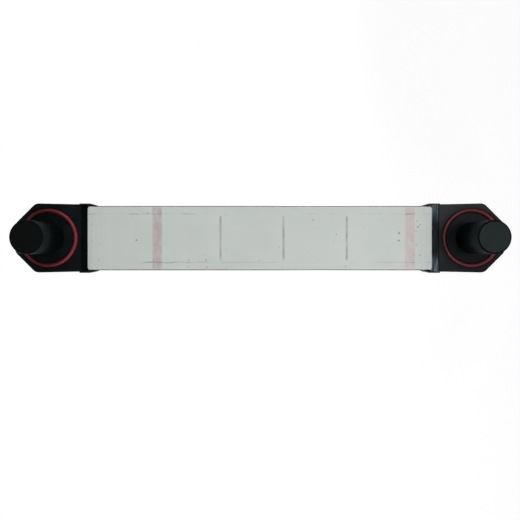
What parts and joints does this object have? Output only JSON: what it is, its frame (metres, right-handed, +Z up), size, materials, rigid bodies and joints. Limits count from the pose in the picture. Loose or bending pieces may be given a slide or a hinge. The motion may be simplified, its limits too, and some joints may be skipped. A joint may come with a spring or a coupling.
{
  "type": "oil level gauge",
  "caption": "Column oil level gauge: a flat clear sight tube and a white scale plate held between black end fittings, with hollow bolts, red face seals and thread caps.",
  "frame": {"origin": "midway between the two bolts, on the face of the tank that the gauge is bolted to", "axes": "+Z up along the gauge, from the lower bolt to the upper; +Y from the tank out to the window; +X across the gauge"},
  "size_m": [0.0338, 0.0586, 0.2318],
  "materials": {
    "black_nylon": "moulded, satin",
    "clear_tube": "clear, polished",
    "white_plate": "smooth white sheet",
    "red_film": "printed red",
    "guard_black": "black powder coat, semi-gloss",
    "red_rubber": "smooth red rubber",
    "black_rubber": "smooth black rubber",
    "plated_steel": "zinc plated",
    "black_cap": "moulded, semi-gloss"
  },
  "bodies": {
    "root": {"sight_tube": "clear_tube", "scale_plate": "white_plate", "max_level_mark": "red_film", "min_level_mark": "red_film", "graduation_lines": "red_film", "front_guard": "guard_black", "upper_end_fitting": "black_nylon", "upper_tube_seal": "black_rubber", "upper_face_seal": "red_rubber", "upper_head_seal": "black_rubber", "upper_washer": "plated_steel", "upper_bolt": "plated_steel", "upper_thread_cap": "black_cap", "lower_end_fitting": "black_nylon", "lower_tube_seal": "black_rubber", "lower_face_seal": "red_rubber", "lower_head_seal": "black_rubber", "lower_washer": "plated_steel", "lower_bolt": "plated_steel", "lower_thread_cap": "black_cap"}
  },
  "joints": []
}
